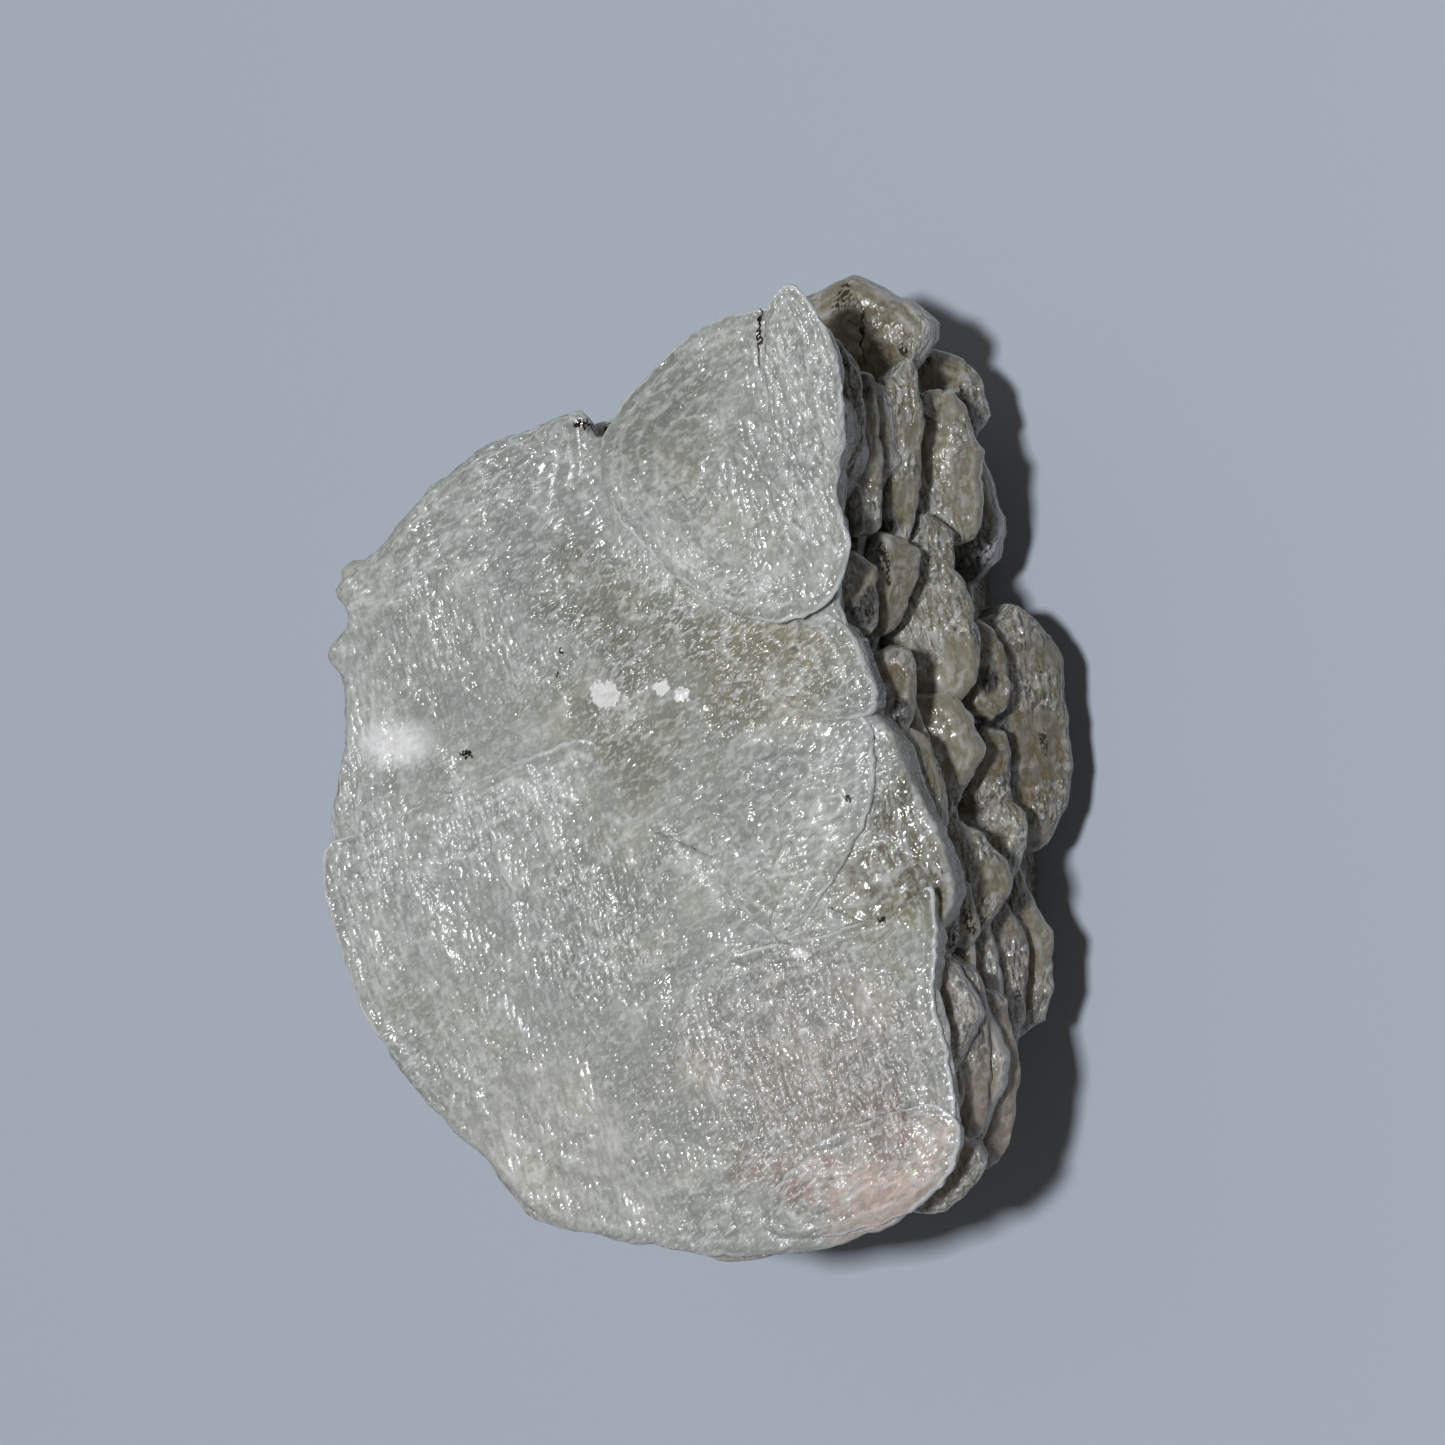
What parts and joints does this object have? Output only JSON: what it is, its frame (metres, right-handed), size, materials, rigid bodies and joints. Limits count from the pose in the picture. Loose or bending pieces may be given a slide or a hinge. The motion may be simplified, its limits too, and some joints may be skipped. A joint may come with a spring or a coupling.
{
  "type": "tunellite crystal",
  "caption": "Translucent pale grey-green crystal grown as a book of rounded, overlapping plates, lying on its flat cleavage face.",
  "frame": {"origin": "middle of the stone's bounding box, on the flat cleavage face that it rests on", "axes": "+Z out of the front sheets, +Y along their longest way towards the crest, +X towards the side where the plates show on edge"},
  "size_m": [0.0278, 0.0396, 0.0241],
  "materials": {
    "tunellite": "translucent pale grey-green, pearly to glassy on the cleavage faces, brown clay in the gaps"
  },
  "bodies": {
    "root": {"tunellite_crystal": "tunellite"}
  },
  "joints": []
}
